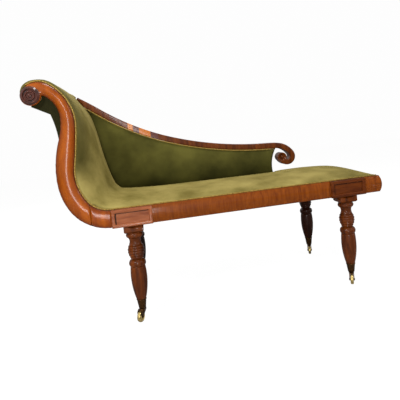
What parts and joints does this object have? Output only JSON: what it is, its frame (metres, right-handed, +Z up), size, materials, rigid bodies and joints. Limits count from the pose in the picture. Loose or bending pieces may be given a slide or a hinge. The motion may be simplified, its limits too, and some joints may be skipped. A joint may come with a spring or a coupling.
{
  "type": "recamier",
  "caption": "Recamier on turned legs with castors: S-scrolled upholstered head at one end, low back falling in an ogee to an open volute, seat open at the foot",
  "frame": {"origin": "on the floor, under the middle of the bounding box", "axes": "+X runs from the head to the foot end, +Y from the open front to the back, +Z up"},
  "size_m": [1.2568, 0.508, 0.8701],
  "materials": {
    "mahogany": "french polished mahogany",
    "beech": "sawn beech, unfinished",
    "velvet": "olive velvet with a short nap",
    "gimp": "woven braid",
    "jute": "jute webbing",
    "black_cloth": "thin lining cloth",
    "brass": "aged cast brass"
  },
  "bodies": {
    "frame": {"front_scroll_board": "beech", "rear_scroll_board": "beech", "scroll_facing": "mahogany", "scroll_facing_foot": "mahogany", "scroll_roundel": "mahogany", "front_seat_rail": "beech", "rear_seat_rail": "beech", "foot_end_rail": "beech", "head_bottom_rail": "beech", "head_middle_rail": "beech", "head_roll_core": "beech", "seat_cross_rail": "beech", "corner_blocks": "beech", "front_rail_facing": "mahogany", "front_corner_facing": "mahogany", "foot_rail_facing": "mahogany", "head_tablet": "mahogany", "foot_tablet": "mahogany", "back_crest_rail": "mahogany", "back_bottom_rail": "beech", "back_end_post": "beech", "back_upright": "beech", "seat_webbing": "jute", "head_webbing": "jute", "back_webbing": "jute", "base_lining": "black_cloth", "frame_dowels": "beech", "head_pad": "velvet", "seat_pad": "velvet", "back_pad": "velvet", "back_end_cover": "velvet", "back_outside_cover": "velvet", "head_outside_cover": "velvet", "head_gimp": "gimp", "seat_gimp": "gimp", "back_gimp": "gimp", "head_front_leg": "mahogany", "head_front_castor_cup": "brass", "foot_front_leg": "mahogany", "foot_front_castor_cup": "brass", "head_rear_leg": "mahogany", "head_rear_castor_cup": "brass", "foot_rear_leg": "mahogany", "foot_rear_castor_cup": "brass"},
    "head_front_horn": {"head_front_castor_horn": "brass", "head_front_castor_axle": "brass"},
    "head_front_wheel": {"head_front_castor_wheel": "brass"},
    "foot_front_horn": {"foot_front_castor_horn": "brass", "foot_front_castor_axle": "brass"},
    "foot_front_wheel": {"foot_front_castor_wheel": "brass"},
    "head_rear_horn": {"head_rear_castor_horn": "brass", "head_rear_castor_axle": "brass"},
    "head_rear_wheel": {"head_rear_castor_wheel": "brass"},
    "foot_rear_horn": {"foot_rear_castor_horn": "brass", "foot_rear_castor_axle": "brass"},
    "foot_rear_wheel": {"foot_rear_castor_wheel": "brass"}
  },
  "joints": [
    {"name": "head_front_swivel", "type": "hinge", "parent": "frame", "child": "head_front_horn", "pos_m": [-0.31036, -0.2095, 0.0465], "axis": [0, 0, 1], "continuous": true},
    {"name": "head_front_roll", "type": "hinge", "parent": "head_front_horn", "child": "head_front_wheel", "pos_m": [-0.31836, -0.22336, 0.019], "axis": [0.866, -0.5, 0], "continuous": true},
    {"name": "foot_front_swivel", "type": "hinge", "parent": "frame", "child": "foot_front_horn", "pos_m": [0.48964, -0.2095, 0.0465], "axis": [0, 0, 1], "continuous": true},
    {"name": "foot_front_roll", "type": "hinge", "parent": "foot_front_horn", "child": "foot_front_wheel", "pos_m": [0.48275, -0.22394, 0.019], "axis": [0.9026, -0.4305, 0], "continuous": true},
    {"name": "head_rear_swivel", "type": "hinge", "parent": "frame", "child": "head_rear_horn", "pos_m": [-0.31036, 0.2205, 0.0465], "axis": [0, 0, 1], "continuous": true},
    {"name": "head_rear_roll", "type": "hinge", "parent": "head_rear_horn", "child": "head_rear_wheel", "pos_m": [-0.3073, 0.20479, 0.019], "axis": [0.9816, 0.1908, 0], "continuous": true},
    {"name": "foot_rear_swivel", "type": "hinge", "parent": "frame", "child": "foot_rear_horn", "pos_m": [0.48964, 0.2205, 0.0465], "axis": [0, 0, 1], "continuous": true},
    {"name": "foot_rear_roll", "type": "hinge", "parent": "foot_rear_horn", "child": "foot_rear_wheel", "pos_m": [0.48417, 0.20546, 0.019], "axis": [0.9397, -0.342, 0], "continuous": true}
  ]
}
